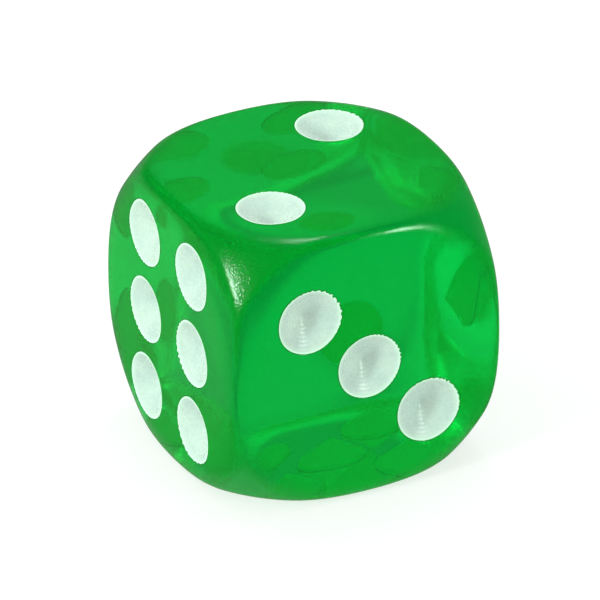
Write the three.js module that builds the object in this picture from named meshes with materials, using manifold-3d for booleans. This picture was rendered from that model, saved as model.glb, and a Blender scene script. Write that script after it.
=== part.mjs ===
// A round-corner acrylic gaming die with drilled, painted pips.
// Millimetres, +Z up. The die stands on its five face with the origin at the middle of that face,
// the two on top, the three to the front (-Y) and the six to the left (-X).
import * as THREE from "three";
import { mergeVertices } from "three/addons/utils/BufferGeometryUtils.js";
import Module from "manifold-3d";

// Driving dimensions.
const EDGE = 16; // across two opposite faces
const SPHERE_RADIUS = 11.35; // the sphere that the cube's corners are turned down to
const FACE_BLEND = 0.1; // width of the blend from a face to that sphere, as a share of half the edge
const EDGE_BLEND = 0.08; // the same for the blend between two faces
const BODY_STEPS = 20; // grid squares along one edge of the body

const PIP_RADIUS = 1.83;
const PIP_WALL = 0.13; // straight wall of a recess, under its mouth
const DRILL_POINT = 118; // degrees across the tip of the drill
const DRILL_OVERRUN = 1; // how far the cutting shape stands out past the face
const PIP_SIDES = 24;
const PAINT_GAP = 0.02; // between the paint and the acrylic
const PAINT_RIM_DEPTH = 0.06; // from the face down to the paint's edge
const PAINT_POOL = 0.15; // radius over which the paint rounds off the tip of the cone
const PAINT_RINGS = 4; // rings of the paint's top between its edge and its middle

// Where the pips are on a face, from its middle.
const CORNER = 3.48; // corner pips of the two, three, four and five, along both sides of the face
const SIX_COLUMN = 2.77; // the six's two columns
const SIX_ROW = 4.6; // the six's outer rows

const HALF = EDGE / 2;
const CONE_SLOPE = 1 / Math.tan(THREE.MathUtils.degToRad(DRILL_POINT / 2));
const PIP_DEPTH = PIP_WALL + PIP_RADIUS * CONE_SLOPE;
const WELD = 1e-4; // vertices closer than this are one

// Patterns as [across, up] seen from outside.
const ONE = [[0, 0]];
const TWO = [
  [-CORNER, -CORNER],
  [CORNER, CORNER],
];
const THREE_PIPS = [
  [-CORNER, CORNER],
  [0, 0],
  [CORNER, -CORNER],
];
const FOUR = [
  [-CORNER, CORNER],
  [CORNER, CORNER],
  [-CORNER, -CORNER],
  [CORNER, -CORNER],
];
const FIVE = [...FOUR, [0, 0]];
const SIX = [-SIX_COLUMN, SIX_COLUMN].flatMap((x) => [SIX_ROW, 0, -SIX_ROW].map((y) => [x, y]));

// Where each face looks, and how far the drill stood off its middle, across and up.
const FACES = [
  { name: "one", pips: ONE, out: [1, 0, 0], across: [0, 1, 0], shift: [0, 0] },
  { name: "two", pips: TWO, out: [0, 0, 1], across: [1, 0, 0], shift: [-0.06, 0.09] },
  { name: "three", pips: THREE_PIPS, out: [0, -1, 0], across: [1, 0, 0], shift: [-0.08, -0.13] },
  { name: "four", pips: FOUR, out: [0, 1, 0], across: [-1, 0, 0], shift: [0, 0] },
  { name: "five", pips: FIVE, out: [0, 0, -1], across: [1, 0, 0], shift: [0, 0] },
  { name: "six", pips: SIX, out: [-1, 0, 0], across: [0, -1, 0], shift: [0.08, 0.09] },
];

const wasm = await Module();
wasm.setup();

// Closed geometry to a manifold-3d solid and back.
function toSolid(geometry) {
  const bare = geometry.clone().deleteAttribute("normal").deleteAttribute("uv");
  const merged = mergeVertices(bare, WELD);
  return new wasm.Manifold(
    new wasm.Mesh({
      numProp: 3,
      vertProperties: new Float32Array(merged.attributes.position.array),
      triVerts: new Uint32Array(merged.index.array),
    }),
  );
}

function toGeometry(solid) {
  const mesh = solid.getMesh();
  const geometry = new THREE.BufferGeometry();
  geometry.setAttribute("position", new THREE.BufferAttribute(mesh.vertProperties, 3));
  geometry.setIndex(new THREE.BufferAttribute(mesh.triVerts, 1));
  geometry.computeVertexNormals();
  return geometry;
}

// The larger of two numbers, rounded off where they are within width of each other.
function smoothMax(a, b, width) {
  const near = Math.max(width - Math.abs(a - b), 0);
  return Math.max(a, b) + (near * near) / (4 * width);
}

// How far a point on the cube's surface sticks out past the rounded body: 1 on its flat faces.
function overshoot(point) {
  const [x, y, z] = point.toArray().map((v) => Math.abs(v) / HALF).sort((a, b) => b - a);
  const cube = smoothMax(smoothMax(z, y, EDGE_BLEND), x, EDGE_BLEND);
  return smoothMax(cube, point.length() / SPHERE_RADIUS, FACE_BLEND);
}

// The body before drilling: a cube's surface grid, drawn in to the rounded shape.
function roundedCube() {
  const geometry = new THREE.BoxGeometry(EDGE, EDGE, EDGE, BODY_STEPS, BODY_STEPS, BODY_STEPS);
  const positions = geometry.attributes.position;
  const point = new THREE.Vector3();
  for (let i = 0; i < positions.count; i++) {
    point.fromBufferAttribute(positions, i);
    point.divideScalar(overshoot(point));
    positions.setXYZ(i, point.x, point.y, point.z);
  }
  return geometry;
}

// A turned shape about Z, from its lowest point on the axis up to its highest.
function turned(profile) {
  const geometry = new THREE.LatheGeometry(profile.map(([r, z]) => new THREE.Vector2(r, z)), PIP_SIDES);
  return geometry.rotateX(Math.PI / 2);
}

// What the drill takes away: a cone with a short straight wall, running out past the face.
function drillTip() {
  return turned([
    [0, -PIP_DEPTH],
    [PIP_RADIUS, -PIP_WALL],
    [PIP_RADIUS, DRILL_OVERRUN],
    [0, DRILL_OVERRUN],
  ]);
}

// The coat of paint in a recess: a thin cone inside the drilled one, with paint pooled at its tip.
function pipPaint() {
  const radius = PIP_RADIUS - PAINT_GAP;
  const top = [];
  for (let ring = 0; ring <= PAINT_RINGS; ring++) {
    const r = radius * (1 - ring / PAINT_RINGS) ** 2;
    const below = CONE_SLOPE * (Math.hypot(radius, PAINT_POOL) - Math.hypot(r, PAINT_POOL));
    top.push([r, -PAINT_RIM_DEPTH - below]);
  }
  return turned([[0, PAINT_GAP - PIP_DEPTH], [radius, PAINT_GAP - PIP_WALL], ...top]);
}

// Places a shape made about Z at one pip of a face, with its mouth on that face.
function placeAt(object, face, [across, up]) {
  const out = new THREE.Vector3(...face.out);
  const right = new THREE.Vector3(...face.across);
  const top = new THREE.Vector3().crossVectors(out, right);
  object.quaternion.setFromUnitVectors(new THREE.Vector3(0, 0, 1), out);
  object.position.copy(out).multiplyScalar(HALF);
  object.position.addScaledVector(right, across + face.shift[0]);
  object.position.addScaledVector(top, up + face.shift[1]);
  object.updateMatrix();
  return object;
}

const acrylic = new THREE.MeshStandardMaterial({
  color: 0x12b442,
  roughness: 0.08,
  metalness: 0,
  transparent: true,
  opacity: 0.85,
});
const paint = new THREE.MeshStandardMaterial({ color: 0xd6ded8, roughness: 0.45, metalness: 0 });

const die = new THREE.Group();
die.position.z = HALF;

const tip = drillTip();
let body = toSolid(roundedCube());
for (const face of FACES) {
  face.pips.forEach((spot, i) => {
    const drilled = placeAt(new THREE.Mesh(tip), face, spot);
    body = body.subtract(toSolid(tip.clone().applyMatrix4(drilled.matrix)));

    const pip = placeAt(new THREE.Mesh(pipPaint(), paint), face, spot);
    pip.name = `pip_${face.name}_${i + 1}`;
    die.add(pip);
  });
}

const shell = new THREE.Mesh(toGeometry(body), acrylic);
shell.name = "die_body";
die.add(shell);

export default die;
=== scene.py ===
import math

import bmesh
import bpy
import numpy as np
from mathutils import Matrix, Quaternion, Vector
from mathutils.geometry import delaunay_2d_cdt


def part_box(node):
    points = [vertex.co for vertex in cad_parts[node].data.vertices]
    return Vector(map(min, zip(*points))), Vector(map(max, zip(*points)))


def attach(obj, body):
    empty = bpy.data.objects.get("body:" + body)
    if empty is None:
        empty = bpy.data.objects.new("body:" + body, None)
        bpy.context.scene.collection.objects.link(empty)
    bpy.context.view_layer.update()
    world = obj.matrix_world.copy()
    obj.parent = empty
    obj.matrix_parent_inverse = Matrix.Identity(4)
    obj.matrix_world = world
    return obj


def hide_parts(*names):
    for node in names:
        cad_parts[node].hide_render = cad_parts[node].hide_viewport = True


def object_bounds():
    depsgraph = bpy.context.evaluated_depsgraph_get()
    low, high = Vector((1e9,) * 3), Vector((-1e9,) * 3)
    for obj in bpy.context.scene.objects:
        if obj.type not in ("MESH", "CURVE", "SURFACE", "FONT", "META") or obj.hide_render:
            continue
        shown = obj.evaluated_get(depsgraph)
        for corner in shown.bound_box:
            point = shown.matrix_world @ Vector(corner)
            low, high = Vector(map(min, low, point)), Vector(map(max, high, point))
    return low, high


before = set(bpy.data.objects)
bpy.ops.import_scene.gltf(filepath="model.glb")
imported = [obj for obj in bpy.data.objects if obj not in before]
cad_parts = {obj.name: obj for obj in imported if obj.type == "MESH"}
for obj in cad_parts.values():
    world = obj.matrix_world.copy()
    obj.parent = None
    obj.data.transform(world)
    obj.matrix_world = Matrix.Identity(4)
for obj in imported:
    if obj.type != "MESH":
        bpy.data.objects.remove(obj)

CAD_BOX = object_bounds()
CENTRE = (CAD_BOX[0] + CAD_BOX[1]) / 2
HALF = (CAD_BOX[1].x - CAD_BOX[0].x) / 2
MM = 0.001

# The body's rounding, in half edges: a cube whose corners are turned down to a sphere.
SPHERE_RADIUS = 1.41875
FACE_BLEND = 0.10  # width of the blend from a face to the sphere
EDGE_BLEND = 0.08  # width of the blend from a face to its neighbour
FLATTEN_PASSES = 10  # passes that home in on the flat square's point under a place

# The grid of triangles on each face.
BODY_STEPS = 76  # grid squares along one edge
CROWDING = 0.65  # how much the grid crowds towards the edges, where the surface bends
GRID_CLEARANCE = 0.6  # between a recess and the grid, as a share of the widest square
TRIANGLE_TOLERANCE = 1e-9  # points of the flat square closer than this are one

# A drilled recess.
RING_POINTS = 144  # round a recess or a coat of paint
ANGLES = np.linspace(0, 2 * math.pi, RING_POINTS, endpoint=False)
WALL = 0.13 * MM  # straight wall under the mouth
DRILL_POINT = 118  # degrees across the tip of the drill
CONE_SLOPE = 1 / math.tan(math.radians(DRILL_POINT / 2))
CONE_SHARES = (0.66, 0.33, 0.08)  # rings of the cone, as shares of its radius
LIP = 0.045 * MM  # radius of the rounded edge round the mouth
LIP_STEPS = 3
GUARD = 0.04 * MM  # flat margin round the lip, which keeps its shading off the face
BODY_WELD = 0.0005 * MM  # the body's vertices closer than this are one

# The edge of a mouth: ragged over one stretch, and swaying a little all round.
CHIP_SIZE = 0.065 * MM
CHIP_WAVES = (27, 54)  # waves of raggedness round a mouth, from the first to under the second
CHIP_LAYERS = 5  # waves laid over each other
CHIP_STRENGTH = (0.3, 1)  # least and most of one wave
CHIP_MIDDLE = (0.1, 1.1)  # where the ragged stretch has its middle, in radians from a face's across
CHIP_FOCUS = 3  # how sharply the ragged stretch is set off from the rest
CHIP_SHARE = 0.6  # of the size, for the ragged waves
SWAY_SHARE = 0.12  # of the size, for the slow ones
SWAY_WAVES = (3, 5)
RANDOM_SEED = 7

# The coat of paint.
PAINT_GAP = 0.02 * MM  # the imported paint's clearance, which this paint closes
EMBED = 0.015 * MM  # how far the paint reaches into the acrylic, so that no air shows between
CREEP = 0.055 * MM  # how far it creeps under the mouth's edge, where a line of painted shade darkens it
CREEP_DEPTH = 0.0285 * MM  # from the face down to the paint that has crept
SKIN_SHARES = (0.08, 0.5, 0.98)  # rings against the acrylic's cone, as shares of its radius
# From the edge inwards: distance in from the wall and depth under the face in mm, and tone from -1,
# a line of painted shade, to 1, painted light on the bead.
PAINT_EDGE = ((0.0, 0.028, -1), (0.010, 0.018, 1), (0.070, 0.020, 1), (0.105, 0.050, 0.4))
TRUE_INSET = 0.12  # mm in from the wall, where nothing is left of the mouth's raggedness
PAINT_SHARES = (0.86, 0.74, 0.62, 0.50, 0.38, 0.27, 0.17, 0.09, 0.04)  # rings of the open cone
POOL = 0.12 * MM  # radius over which the paint rounds off the tip
PAINT_WELD = 0.0002 * MM


# ---------------------------------------------------------------- shape of the body


def smooth_max(a, b, width):
    """The larger of two arrays, rounded off where they are within width of each other."""
    near = np.clip(width - np.abs(a - b), 0, None)
    return np.maximum(a, b) + near**2 / (4 * width)


def overshoot(points):
    """How far points on a cube's surface, in half edges, stick out past the rounded body."""
    low, middle, high = np.sort(np.abs(points), axis=1).T
    cube = smooth_max(smooth_max(low, middle, EDGE_BLEND), high, EDGE_BLEND)
    return smooth_max(cube, np.linalg.norm(points, axis=1) / SPHERE_RADIUS, FACE_BLEND)


def on_cube(flat):
    """Points of a face's flat square as points of the cube: across, up, out, in half edges."""
    return np.column_stack([flat, np.ones(len(flat))])


def flat_under(places):
    """The flat square's points that end up at these places across and up the rounded face."""
    flat = places.copy()
    for _ in range(FLATTEN_PASSES):
        flat = places * overshoot(on_cube(flat))[:, None]
    return flat


def face_height(places):
    """How high the rounded face stands at places across and up it, in metres from the centre."""
    return HALF / overshoot(on_cube(flat_under(places / HALF)))


class Face:
    """One face of the die: its axes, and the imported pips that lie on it."""

    def __init__(self, axis, sign):
        self.out = Vector([sign * (i == axis) for i in range(3)])
        self.across = Vector((0, 1, 0)) if axis == 0 else Vector((1, 0, 0))
        self.up = self.out.cross(self.across)
        self.pips = {}

    def world(self, local):
        """Across, up, out in metres from the die's centre, as points of the frame."""
        axes = np.array([self.across, self.up, self.out])
        return np.asarray(local) @ axes + np.array(CENTRE)


def read_faces():
    """The six faces with their pips' places and radii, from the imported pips' boxes."""
    faces = {(axis, sign): Face(axis, sign) for axis in range(3) for sign in (-1, 1)}
    for node in sorted(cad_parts):
        if not node.startswith("pip_"):
            continue
        low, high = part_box(node)
        offset = (low + high) / 2 - CENTRE
        axis = max(range(3), key=lambda i: abs(offset[i]))
        face = faces[axis, 1 if offset[axis] > 0 else -1]
        radius = (high - low).dot(face.across) / 2 + PAINT_GAP
        face.pips[node] = (offset.dot(face.across), offset.dot(face.up), radius)
    return list(faces.values())


# ---------------------------------------------------------------- rings and outlines


def chips(rng):
    """How far a mouth's edge wanders from its circle, all round it."""
    middle = rng.uniform(*CHIP_MIDDLE)
    stretch = (0.5 + 0.5 * np.cos(ANGLES - middle)) ** CHIP_FOCUS
    wander = np.zeros(RING_POINTS)
    for wave in rng.integers(*CHIP_WAVES, CHIP_LAYERS):
        wander += rng.uniform(*CHIP_STRENGTH) * np.sin(wave * ANGLES + rng.uniform(0, 2 * math.pi))
    sway = sum(np.sin(wave * ANGLES + turn * middle) for turn, wave in enumerate(SWAY_WAVES, 1))
    return CHIP_SIZE * (CHIP_SHARE * wander * stretch + SWAY_SHARE * sway)


def ring(spot, radius):
    """Places of a ring round a spot. The radius is one number or one for each angle."""
    circle = np.column_stack([np.cos(ANGLES), np.sin(ANGLES)])
    return np.array(spot) + circle * np.reshape(radius, (-1, 1))


def level_with(depth):
    """Heights of a ring that lies flat, at a depth under the face's middle."""
    return np.full(RING_POINTS, HALF - depth)


def recess(spot, radius, wander):
    """Rings of a drilled recess from the guard ring inwards, and its tip, as across, up, out."""
    guard = ring(spot, radius + LIP + GUARD + wander)
    rings = [(guard, face_height(guard))]
    for step in range(LIP_STEPS + 1):
        turn = math.pi / 2 * step / LIP_STEPS
        places = ring(spot, radius + LIP * (1 - math.sin(turn)) + wander)
        rings.append((places, face_height(places) - LIP * (1 - math.cos(turn))))
    rings.append((ring(spot, radius), level_with(WALL)))
    for share in CONE_SHARES:
        depth = WALL + radius * (1 - share) * CONE_SLOPE
        rings.append((ring(spot, radius * share), level_with(depth)))
    tip = np.array([*spot, HALF - WALL - radius * CONE_SLOPE])
    return [np.column_stack(row) for row in rings], tip


def coat(spot, radius, wander):
    """Rings of a coat of paint, each as its places, heights and tone, and the heights of its two tips.

    They run from the tip against the acrylic out to the edge, and in over the open cone.
    """
    rings = []
    # The side against the acrylic and the crept paint have tone 1, the bead's painted light.
    for share in SKIN_SHARES:
        depth = WALL + radius * (1 - share) * CONE_SLOPE + EMBED
        rings.append((ring(spot, radius * share), level_with(depth), 1))
    crept = ring(spot, radius + CREEP + wander)
    rings.append((crept, level_with(WALL), 1))
    rings.append((crept, face_height(crept) - CREEP_DEPTH, 1))

    # The bead round the edge follows the mouth.
    for inset, depth, tone in PAINT_EDGE:
        ragged = wander * (1 - inset / TRUE_INSET)
        places = ring(spot, radius - inset * MM + ragged + (CREEP if inset == 0 else 0))
        rings.append((places, face_height(places) - depth * MM, tone))

    # The open cone starts at the bead, and follows the rounded face less and less.
    inset, start, _ = PAINT_EDGE[-1]
    inside = radius - inset * MM
    rim = face_height(ring(spot, inside))

    def fall(share):
        return CONE_SLOPE * (math.hypot(inside, POOL) - math.hypot(inside * share, POOL))

    for share in PAINT_SHARES:
        top = rim * share**2 + HALF * (1 - share**2)
        rings.append((ring(spot, inside * share), top - start * MM - fall(share), 0))
    tips = (HALF - WALL - radius * CONE_SLOPE - EMBED, HALF - start * MM - fall(0))
    return rings, tips


def within(places, outline):
    """Which places are inside a closed outline, by the edges that lie to the right of each."""
    x, y = places.T[:, :, None]
    (ax, ay), (bx, by) = outline.T, np.roll(outline, -1, axis=0).T
    level = (ay > y) != (by > y)
    leftward = (bx - ax) * (y - ay) > (x - ax) * (by - ay)
    return (level & (leftward == (by > ay))).sum(axis=1) % 2 == 1


def plate(outlines):
    """A face's flat square in half edges, open inside each outline.

    Gives its points, its triangles, and for each outline the indices of the points along it.
    """
    line = np.linspace(-1, 1, BODY_STEPS + 1)
    line = CROWDING * np.sin(line * math.pi / 2) + (1 - CROWDING) * line
    grid = np.stack(np.meshgrid(line, line), axis=-1).reshape(-1, 2)
    clearance = GRID_CLEARANCE * np.diff(line).max()
    for outline in outlines:
        middle = outline.mean(0)
        reach = np.linalg.norm(outline - middle, axis=1).max() + clearance
        grid = grid[np.linalg.norm(grid - middle, axis=1) > reach]

    points, edges, rims = [*map(tuple, grid)], [], []
    for outline in outlines:
        rim = range(len(points), len(points) + RING_POINTS)
        points += [*map(tuple, outline)]
        edges += [*zip(rim, [*rim[1:], rim[0]])]
        rims.append(rim)
    made = delaunay_2d_cdt([Vector(p) for p in points], edges, [], 0, TRIANGLE_TOLERANCE, True)
    flat, triangles, origins = np.array(made[0]), np.array(made[2]), made[3]

    keep = np.ones(len(triangles), bool)
    for outline in outlines:
        keep &= ~within(flat[triangles].mean(axis=1), outline)
    index_of = {origin[0]: i for i, origin in enumerate(origins) if origin}
    return flat, triangles[keep], [[index_of[i] for i in rim] for rim in rims]


# ---------------------------------------------------------------- meshes


def band(outer, inner):
    """Quads between two rings of vertices, given by their indices."""
    around = [(i, (i + 1) % RING_POINTS) for i in range(RING_POINTS)]
    return [(outer[i], outer[j], inner[j], inner[i]) for i, j in around]


def fan(rim, tip):
    """Triangles from a ring of vertices to one vertex."""
    return [(rim[i], rim[(i + 1) % RING_POINTS], tip) for i in range(RING_POINTS)]


def mesh_object(name, points, polygons, material):
    mesh = bpy.data.meshes.new(name)
    mesh.from_pydata([*map(tuple, points)], [], [tuple(map(int, p)) for p in polygons])
    mesh.validate()
    mesh.shade_smooth()
    mesh.materials.append(material)
    made = bpy.data.objects.new(name, mesh)
    bpy.context.scene.collection.objects.link(made)
    return made


def weld(made, distance):
    """Merges vertices that lie together, and turns every face outwards."""
    bm = bmesh.new()
    bm.from_mesh(made.data)
    bmesh.ops.remove_doubles(bm, verts=bm.verts, dist=distance)
    bmesh.ops.recalc_face_normals(bm, faces=bm.faces)
    bm.to_mesh(made.data)
    bm.free()
    made.data.shade_smooth()


def make_body(faces, edges_of, material):
    """The acrylic block: six rounded plates, welded along their edges, with the drilled recesses."""
    points, polygons = [], []
    for face in faces:
        drilled = [recess((x, y), radius, edges_of[node]) for node, (x, y, radius) in face.pips.items()]
        outlines = [flat_under(rings[0][:, :2] / HALF) for rings, _ in drilled]
        flat, triangles, rims = plate(outlines)
        cube = on_cube(flat)
        base = len(points)
        points += [*face.world(cube / overshoot(cube)[:, None] * HALF)]
        polygons += [tuple(base + t) for t in triangles]
        for (rings, tip), rim in zip(drilled, rims):
            outer = [base + i for i in rim]
            for row in rings[1:]:
                inner = range(len(points), len(points) + RING_POINTS)
                points += [*face.world(row)]
                polygons += band(outer, inner)
                outer = inner
            polygons += fan(outer, len(points))
            points += [*face.world([tip])]
    body = mesh_object("acrylic_body", points, polygons, material)
    weld(body, BODY_WELD)
    return body


def make_paint(face, node, wander, material):
    """One pip's coat of paint: a thin cone inside the drilled one, with a raised bead at its edge.

    Its vertices carry their tone, which gives painted light on the bead and painted shade where the paint
    has crept, and their reach: the distance from the pip's middle in mm.
    """
    x, y, radius = face.pips[node]
    rings, tips = coat((x, y), radius, wander)
    local = [np.column_stack([places, heights]) for places, heights, _ in rings]
    points = face.world(np.vstack([*local, *((x, y, height) for height in tips)]))

    rows = [range(k * RING_POINTS, (k + 1) * RING_POINTS) for k in range(len(rings))]
    polygons = [quad for outer, inner in zip(rows, rows[1:]) for quad in band(outer, inner)]
    polygons += fan(rows[0], len(points) - 2) + fan(rows[-1], len(points) - 1)
    made = mesh_object(node.replace("pip_", "pip_paint_"), points, polygons, material)

    tones = [np.full(RING_POINTS, float(tone)) for _, _, tone in rings]
    reaches = [np.linalg.norm(places - (x, y), axis=1) / MM for places, _, _ in rings]
    for name, values in (("tone", [*tones, [1, 0]]), ("reach", [*reaches, [0, 0]])):
        attribute = made.data.attributes.new(name, "FLOAT", "POINT")
        attribute.data.foreach_set("value", np.concatenate(values).astype(np.float32))
    weld(made, PAINT_WELD)
    return made


# ---------------------------------------------------------------- nodes


class Nodes:
    """A node tree, with short calls to add and join nodes. A value is a number, a colour or an output."""

    def __init__(self, tree):
        self.tree = tree
        tree.nodes.clear()

    def put(self, value, socket):
        if isinstance(value, bpy.types.NodeSocket):
            self.tree.links.new(value, socket)
        else:
            socket.default_value = value

    def add(self, kind, *values, **settings):
        """A new node: its first inputs in order, and its settings and other inputs by name."""
        node = self.tree.nodes.new(kind)
        for name, value in settings.items():
            if hasattr(node, name):
                setattr(node, name, value)
            else:
                self.put(value, node.inputs[name.replace("_", " ")])
        for value, socket in zip(values, node.inputs):
            self.put(value, socket)
        return node

    def calc(self, operation, *values, **settings):
        return self.add("ShaderNodeMath", *values, operation=operation, **settings).outputs[0]

    def vector(self, operation, *values, **settings):
        return self.add("ShaderNodeVectorMath", *values, operation=operation, **settings).outputs

    def split(self, vector):
        """X, Y and Z of a vector."""
        return self.add("ShaderNodeSeparateXYZ", vector).outputs

    def mix(self, share, low, high, data_type="FLOAT", blend_type="MIX"):
        kinds = {"data_type": data_type, "blend_type": blend_type}
        return self.add("ShaderNodeMix", **kinds, Factor=share, A=low, B=high).outputs["Result"]

    def ramp(self, source, low, high, to_low, to_high):
        """A smooth step from one value to another as source goes from low to high."""
        values = (source, low, high, to_low, to_high)
        return self.add("ShaderNodeMapRange", *values, interpolation_type="SMOOTHSTEP").outputs[0]

    def noise(self, place, scale, detail, roughness=0.5):
        settings = {"Vector": place, "Scale": scale, "Detail": detail, "Roughness": roughness}
        return self.add("ShaderNodeTexNoise", **settings).outputs["Fac"]

    def bump(self, height, distance, strength=1.0, **normal):
        settings = {"Height": height, "Distance": distance, "Strength": strength, **normal}
        return self.add("ShaderNodeBump", **settings).outputs["Normal"]

    def attribute(self, name):
        return self.add("ShaderNodeAttribute", attribute_name=name).outputs["Fac"]


def new_material(name):
    material = bpy.data.materials.new(name)
    material.use_nodes = True
    return material, Nodes(material.node_tree)


def from_centre(nodes):
    """Position measured from the die's centre, in half edges."""
    place = nodes.add("ShaderNodeTexCoord").outputs["Object"]
    moved = nodes.vector("SUBTRACT", place, CENTRE)[0]
    return nodes.vector("SCALE", moved, Scale=1 / HALF)[0]


# ---------------------------------------------------------------- materials

# Distances from the die's centre are in half edges, and noise scales are per half edge.
FACE_GREEN = (0.0016, 0.466, 0.062, 1)
# A darker green at the corners: painted shade.
SHADED_CORNER_GREEN = (0.0012, 0.345, 0.046, 1)
CORNER_REACH = (1.33, 1.41)  # from the die's centre, where tumbling and the corners' painted shade begin to show and show in full
FACE_ROUGHNESS = 0.10
CORNER_ROUGHNESS = 0.06  # added to the faces'
ACRYLIC_IOR = 1.49
DYE_COLOUR = (0.25, 0.93, 0.72, 1)
DYE_DENSITY = 40.0
WAVE_SCALE, WAVE_HEIGHT = 1.6, 0.02 * MM  # the polish's slow waves
GRAIN_SCALE, GRAIN_HEIGHT = 85.0, 0.012 * MM

DULL_FILL = (0.55, 0.70, 0.635, 1)
BRIGHT_FILL = (0.63, 0.78, 0.675, 1)
BLOTCH_RANGE = (0.35, 0.65)  # of the noise, between the dull and the bright fill
SPECK_SHARE = 0.10  # how much the specks darken the fill
# Painted light: the bead's brighter colour, also used on the paint's side against the acrylic.
PAINTED_LIGHT_BEAD_COLOUR = (0.66, 0.95, 0.74, 1)
# A line of painted shade round the mouth, on the paint that has crept.
PAINTED_SHADE_LINE_COLOUR = (0.004, 0.13, 0.035, 1)
PAINT_IOR = 1.5
GLOSS_RANGE = (0.3, 0.7, 0.22, 0.32)  # of the specks' noise, and the roughness that it gives
BEAD_ROUGHNESS = 0.5  # added on the bead
BLOTCH_SCALE, BLOTCH_HEIGHT = 6.0, 0.10 * MM
SPECK_SCALE, SPECK_HEIGHT = 45.0, 0.012 * MM
RELIEF = 0.30  # strength of the blotches' and the specks' bump
GROOVE_HEIGHT = 0.002 * MM
GROOVE_PITCH = 0.19  # mm between the rings that the drill leaves, which show through the paint


def acrylic_material():
    """Green acrylic: clear polished faces, corners left grainy by tumbling and painted a darker green as
    shade, colour by depth.
    """
    material, nodes = new_material("green_acrylic")
    place = from_centre(nodes)
    corner = nodes.ramp(nodes.vector("LENGTH", place)["Value"], *CORNER_REACH, 0.0, 1.0)
    grain = nodes.calc("MULTIPLY", nodes.noise(place, GRAIN_SCALE, detail=1.0, roughness=0.6), corner)
    waves = nodes.bump(nodes.noise(place, WAVE_SCALE, detail=1.0), WAVE_HEIGHT)
    # The base colour darkens towards the corners: painted shade.
    shader = nodes.add(
        "ShaderNodeBsdfPrincipled",
        Base_Color=nodes.mix(corner, FACE_GREEN, SHADED_CORNER_GREEN, "RGBA"),
        Roughness=nodes.calc("MULTIPLY_ADD", corner, CORNER_ROUGHNESS, FACE_ROUGHNESS),
        Normal=nodes.bump(grain, GRAIN_HEIGHT, Normal=waves),
        IOR=ACRYLIC_IOR,
        Transmission_Weight=1.0,
    )
    dye = nodes.add("ShaderNodeVolumeAbsorption", Color=DYE_COLOUR, Density=DYE_DENSITY)
    nodes.add("ShaderNodeOutputMaterial", Surface=shader.outputs[0], Volume=dye.outputs[0])
    return material


def paint_colour(nodes, blotches, specks, tone):
    """Off-white in blotches and specks, with painted light on the bead and a line of painted shade where
    the paint has crept.
    """
    fill = nodes.add("ShaderNodeValToRGB", blotches)
    for end, position, colour in zip(fill.color_ramp.elements, BLOTCH_RANGE, (DULL_FILL, BRIGHT_FILL)):
        end.position = position
        end.color = colour
    colour = nodes.mix(SPECK_SHARE, fill.outputs[0], specks, "RGBA", "MULTIPLY")
    # Tone 1 gives painted light on the bead, tone -1 a line of painted shade.
    for full_tone, toned in ((1, PAINTED_LIGHT_BEAD_COLOUR), (-1, PAINTED_SHADE_LINE_COLOUR)):
        colour = nodes.mix(nodes.ramp(tone, 0, full_tone, 0.0, 1.0), colour, toned, "RGBA")
    return colour


def paint_relief(nodes, blotches, specks):
    """The drill's rings showing through, under the blotches and the specks."""
    turns = nodes.calc("MULTIPLY", nodes.attribute("reach"), 2 * math.pi / GROOVE_PITCH)
    grooved = nodes.bump(nodes.calc("SINE", turns), GROOVE_HEIGHT)
    blotched = nodes.bump(blotches, BLOTCH_HEIGHT, RELIEF, Normal=grooved)
    return nodes.bump(specks, SPECK_HEIGHT, RELIEF, Normal=blotched)


def paint_material():
    """Off-white enamel: a little mottled, with painted light on the bead at its edge, which is also
    rougher, and a line of painted shade outside it.
    """
    material, nodes = new_material("pip_enamel")
    place = from_centre(nodes)
    blotches = nodes.noise(place, BLOTCH_SCALE, detail=3.0, roughness=0.6)
    specks = nodes.noise(place, SPECK_SCALE, detail=2.0, roughness=0.6)
    tone = nodes.attribute("tone")
    beaded = nodes.ramp(tone, 0, 1, 0.0, BEAD_ROUGHNESS)
    shader = nodes.add(
        "ShaderNodeBsdfPrincipled",
        Base_Color=paint_colour(nodes, blotches, specks, tone),
        Roughness=nodes.calc("ADD", nodes.ramp(specks, *GLOSS_RANGE), beaded),
        Normal=paint_relief(nodes, blotches, specks),
        IOR=PAINT_IOR,
    )
    nodes.add("ShaderNodeOutputMaterial", Surface=shader.outputs[0])
    return material


# ---------------------------------------------------------------- camera and softboxes

CAMERA_AZIMUTH = -26.47
CAMERA_ELEVATION = 28.47
CAMERA_ROLL = -0.4
CAMERA_DISTANCE = 0.6
CAMERA_LENS = 676.5  # on Blender's 36 mm sensor
CAMERA_RANGE = (0.01, 50)
AIM = (-0.151 * MM, -0.028 * MM)  # the frame's middle, right and up from the die's centre

SOFTBOX_DISTANCE = 1.0
SOFTBOX_COLOUR = (0.80, 1.0, 0.87)
# Azimuth from the front towards +X, elevation, tilt, width and height in degrees, radiance.
SOFTBOXES = {
    "softbox_left": (-76, 24.5, 26, 3, 15, 115.0),
    "softbox_right": (34, 15, 0, 9, 18, 17.0),
    "softbox_back": (149, 68.7, 0, 5, 5, 28.0),
    "softbox_top": (138, 70, 0, 20, 8, 0.7),
}


def direction(azimuth, elevation):
    """Unit vector at an azimuth from the front (-Y) towards +X and an elevation, in degrees."""
    a, e = math.radians(azimuth), math.radians(elevation)
    return Vector((math.sin(a) * math.cos(e), -math.cos(a) * math.cos(e), math.sin(e)))


def looking(along):
    """The turn of a camera that looks along a vector, rolled."""
    roll = Matrix.Rotation(math.radians(CAMERA_ROLL), 3, "Z")
    return along.to_track_quat("-Z", "Y").to_matrix() @ roll


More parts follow.
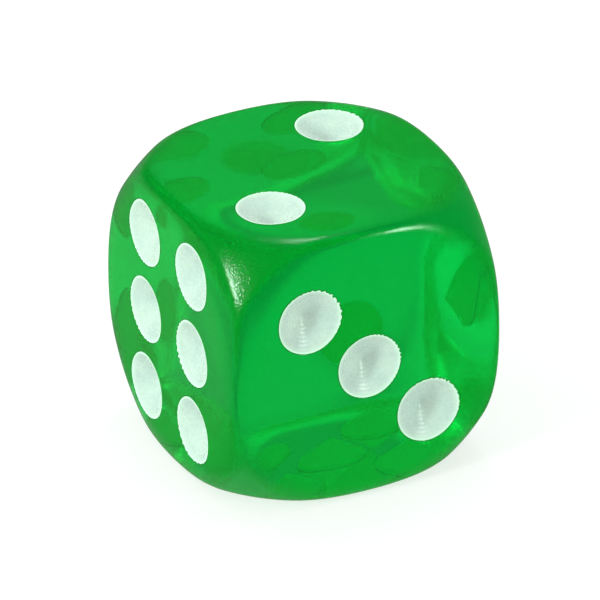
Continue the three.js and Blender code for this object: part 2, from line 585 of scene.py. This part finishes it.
def make_camera():
    data = bpy.data.cameras.new("camera")
    data.lens = CAMERA_LENS
    data.clip_start, data.clip_end = CAMERA_RANGE
    camera = bpy.data.objects.new("camera", data)
    back = direction(CAMERA_AZIMUTH, CAMERA_ELEVATION)
    eye = CENTRE + back * CAMERA_DISTANCE
    target = CENTRE + looking(-back) @ Vector((*AIM, 0))
    camera.matrix_world = Matrix.Translation(eye) @ looking(target - eye).to_4x4()
    bpy.context.scene.collection.objects.link(camera)
    bpy.context.scene.camera = camera


def across_at(distance, degrees):
    """How wide something is that takes up an angle at a distance."""
    return 2 * distance * math.tan(math.radians(degrees / 2))


def make_softboxes():
    """Lamps that light the paint and mirror in the surface, left out of light seen through the die."""
    for name, (azimuth, elevation, tilt, width, height, radiance) in SOFTBOXES.items():
        light = bpy.data.lights.new(name, "AREA")
        light.shape = "RECTANGLE"
        light.color = SOFTBOX_COLOUR
        light.size = across_at(SOFTBOX_DISTANCE, width)
        light.size_y = across_at(SOFTBOX_DISTANCE, height)
        light.energy = radiance * math.pi * light.size * light.size_y
        lamp = bpy.data.objects.new(name, light)
        towards = direction(azimuth, elevation)
        lamp.location = CENTRE + towards * SOFTBOX_DISTANCE
        lamp.rotation_mode = "QUATERNION"
        leaning = Quaternion((0, 0, 1), math.radians(tilt))
        lamp.rotation_quaternion = towards.to_track_quat("Z", "Y") @ leaning
        lamp.visible_transmission = False
        bpy.context.scene.collection.objects.link(lamp)


# ---------------------------------------------------------------- world and floor

# Steps of light, as from, to, and the value before and after. The world's go by direction.
RIGHTWARDS = (-0.1, 0.3, 0.0, 1.0)
BACKWARDS = (0.0, 0.5, 0.0, 1.0)
WORLD_MIRRORED = (0.0, 1.0, 0.0, 0.072)  # by how far to the right and back
WORLD_LOW_TO_HIGH = (0.20, 0.45, 1.03, 0.76)  # seen through the die, to the right and back
WORLD_THROUGH = 1.36  # seen through the die elsewhere
WORLD_MATT = (-0.9, 0.3, 0.49, 1.23)  # what lights the matt surfaces, from the front to the back
WORLD_ON_PAINT = 1.08
WORLD_TO_CAMERA = 1.0

FLOOR_SIDE = 6.0
FLOOR_DROP = 0.002 * MM  # under the die
FLOOR_GREY = (0.32, 0.32, 0.32, 1)
FLOOR_AHEAD = (-35 * MM, -18 * MM, 0.03, 0.08)  # mirrored, by Y
FLOOR_BEHIND = (-10 * MM, 15 * MM, 0.0, 0.11)  # mirrored, by Y
FLOOR_CLOSE = (HALF, 1.15 * HALF, 0.16, 0.0)  # mirrored, by the distance out from under the die
FLOOR_UNDER = (0.93 * HALF, HALF, 1.03, 0.80)  # seen through the die: painted shade, dimmer towards the edge of its foot
FLOOR_CLEARED = (HALF, 1.10 * HALF, 0.0, 1.0)  # how far it gives way to the world, through the die
FLOOR_MATT = 0.55
FLOOR_TO_CAMERA = 0.70
SHADE_BY_X = ((3.5 * MM, 5.5 * MM, 0.0, 0.6), (8.0 * MM, 9.5 * MM, 1.0, 0.0))
SHADE_BY_Y = ((8.5 * MM, 9.5 * MM, 0.0, 1.0), (14.5 * MM, 16.5 * MM, 1.0, 0.0))
SHADED = 0.50


def studio_glow(nodes, camera, mirrored, through, on_paint, matt):
    """Radiance by the kind of ray: to the camera, mirrored, through the die, onto paint, onto matt."""
    seen = nodes.add("ShaderNodeLightPath").outputs
    # A ray through the die that has already met a matt surface looks for light on the paint or floor.
    from_paint = nodes.calc("GREATER_THAN", seen["Diffuse Depth"], 0.5)
    inside = nodes.mix(from_paint, through, on_paint)
    level = nodes.mix(seen["Is Glossy Ray"], matt, mirrored)
    level = nodes.mix(seen["Is Transmission Ray"], level, inside)
    return nodes.mix(seen["Is Camera Ray"], level, camera)


def make_world():
    """A room all round the die: white to the camera, bright through the die, nearly dark mirrored."""
    world = bpy.data.worlds.new("studio")
    world.use_nodes = True
    bpy.context.scene.world = world
    nodes = Nodes(world.node_tree)
    x, y, z = nodes.split(nodes.add("ShaderNodeTexCoord").outputs["Generated"])
    far_right = nodes.calc("MULTIPLY", nodes.ramp(x, *RIGHTWARDS), nodes.ramp(y, *BACKWARDS))
    level = studio_glow(
        nodes,
        camera=WORLD_TO_CAMERA,
        mirrored=nodes.ramp(far_right, *WORLD_MIRRORED),
        through=nodes.mix(far_right, WORLD_THROUGH, nodes.ramp(z, *WORLD_LOW_TO_HIGH)),
        on_paint=WORLD_ON_PAINT,
        matt=nodes.ramp(y, *WORLD_MATT),
    )
    glow = nodes.add("ShaderNodeBackground", Color=(1, 1, 1, 1), Strength=level)
    nodes.add("ShaderNodeOutputWorld", Surface=glow.outputs[0])


def own_shade(nodes, x, y):
    """How deep a place is in the die's own shade, on the floor behind its right-hand side."""
    steps = [nodes.ramp(x, *step) for step in SHADE_BY_X] + [nodes.ramp(y, *step) for step in SHADE_BY_Y]
    shade = steps[0]
    for step in steps[1:]:
        shade = nodes.calc("MULTIPLY", shade, step)
    return shade


def make_floor():
    """A pale matt floor. Beyond the die's foot, light seen through the die passes it by."""
    material, nodes = new_material("studio_floor")
    place = nodes.add("ShaderNodeNewGeometry").outputs["Position"]
    x, y, _ = nodes.split(place)
    sideways, endways, _ = nodes.split(nodes.vector("ABSOLUTE", place)[0])
    out = nodes.calc("MAXIMUM", sideways, endways)
    shade = own_shade(nodes, x, y)
    # Seen through the die: painted shade at the edge of its foot and in the die's own shade.
    under = nodes.mix(shade, nodes.ramp(out, *FLOOR_UNDER), SHADED)
    along = (nodes.ramp(y, *FLOOR_AHEAD), nodes.ramp(y, *FLOOR_BEHIND))
    mirrored = nodes.calc("ADD", nodes.calc("ADD", nodes.ramp(out, *FLOOR_CLOSE), along[0]), along[1])
    level = studio_glow(nodes, FLOOR_TO_CAMERA, mirrored, under, under, FLOOR_MATT)
    glow = nodes.add("ShaderNodeEmission", Strength=level).outputs[0]

    matt = nodes.add("ShaderNodeBsdfDiffuse", Color=FLOOR_GREY).outputs[0]
    shader = nodes.add("ShaderNodeAddShader", glow, matt).outputs[0]
    cleared = nodes.calc("SUBTRACT", nodes.ramp(out, *FLOOR_CLEARED), shade, use_clamp=True)
    passing = nodes.add("ShaderNodeBsdfTransparent").outputs[0]
    through = nodes.add("ShaderNodeMixShader", cleared, glow, passing).outputs[0]
    seen = nodes.add("ShaderNodeLightPath").outputs
    shader = nodes.add("ShaderNodeMixShader", seen["Is Glossy Ray"], shader, glow).outputs[0]
    shader = nodes.add("ShaderNodeMixShader", seen["Is Transmission Ray"], shader, through).outputs[0]
    nodes.add("ShaderNodeOutputMaterial", Surface=shader)

    side, low = FLOOR_SIDE / 2, CAD_BOX[0].z - FLOOR_DROP
    corners = [(-side, -side, low), (side, -side, low), (side, side, low), (-side, side, low)]
    floor = mesh_object("studio_floor", corners, [(0, 1, 2, 3)], material)


def set_film():
    """Light paths long enough for light that bounces about inside the die, and plain colour."""
    scene = bpy.context.scene
    scene.cycles.max_bounces = 24
    scene.cycles.glossy_bounces = 16
    scene.cycles.transmission_bounces = 24
    scene.cycles.diffuse_bounces = 6
    scene.cycles.blur_glossy = 0.0
    scene.cycles.use_denoising = True
    scene.view_settings.view_transform = "Standard"


# ---------------------------------------------------------------- the die


def make_die():
    acrylic, enamel = acrylic_material(), paint_material()
    faces = read_faces()
    rng = np.random.default_rng(RANDOM_SEED)
    edges_of = {node: chips(rng) for face in faces for node in face.pips}
    body = make_body(faces, edges_of, acrylic)
    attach(body, "root")
    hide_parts("die_body")
    for face in faces:
        for node in face.pips:
            paint = make_paint(face, node, edges_of[node], enamel)
            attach(paint, "root")
            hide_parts(node)


make_camera()
make_die()
make_softboxes()
make_world()
make_floor()
set_film()
